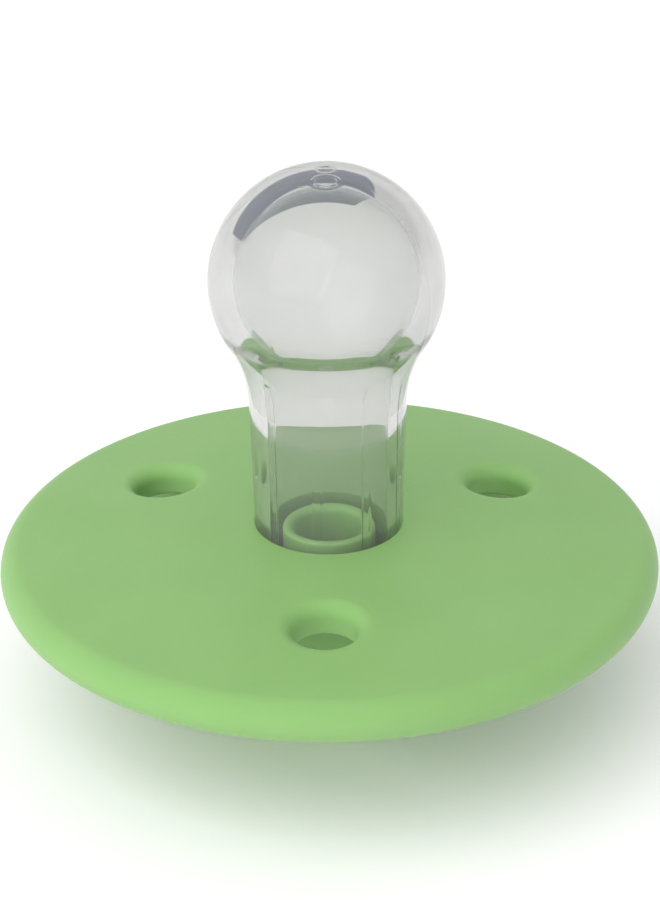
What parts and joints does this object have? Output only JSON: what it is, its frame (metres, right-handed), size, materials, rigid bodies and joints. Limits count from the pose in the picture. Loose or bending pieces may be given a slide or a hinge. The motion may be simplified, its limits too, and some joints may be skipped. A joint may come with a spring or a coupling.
{
  "type": "pacifier",
  "caption": "Round pacifier with a vented domed shield, a clear cherry-shaped silicone teat, a retaining plug, a back knob and a hinged ring handle.",
  "frame": {"origin": "centre of the knob's flat end face, on which the pacifier stands", "axes": "+Z from the knob's end towards the tip of the teat; X along the ring handle's hinge axis; +Y towards the far end of the ring handle where it rests"},
  "size_m": [0.043, 0.0516, 0.0375],
  "materials": {
    "green_plastic": "moulded polypropylene with a fine matte texture",
    "clear_silicone": "clear, smooth, moulded silicone"
  },
  "bodies": {
    "soother": {"shield": "green_plastic", "teat": "clear_silicone", "teat_plug": "green_plastic", "knob": "green_plastic"},
    "ring": {"ring_handle": "green_plastic"}
  },
  "joints": [
    {"name": "ring_hinge", "type": "hinge", "parent": "soother", "child": "ring", "pos_m": [0, 0, 0.0042], "axis": [1, 0, 0], "range_deg": [-184, 14]}
  ]
}
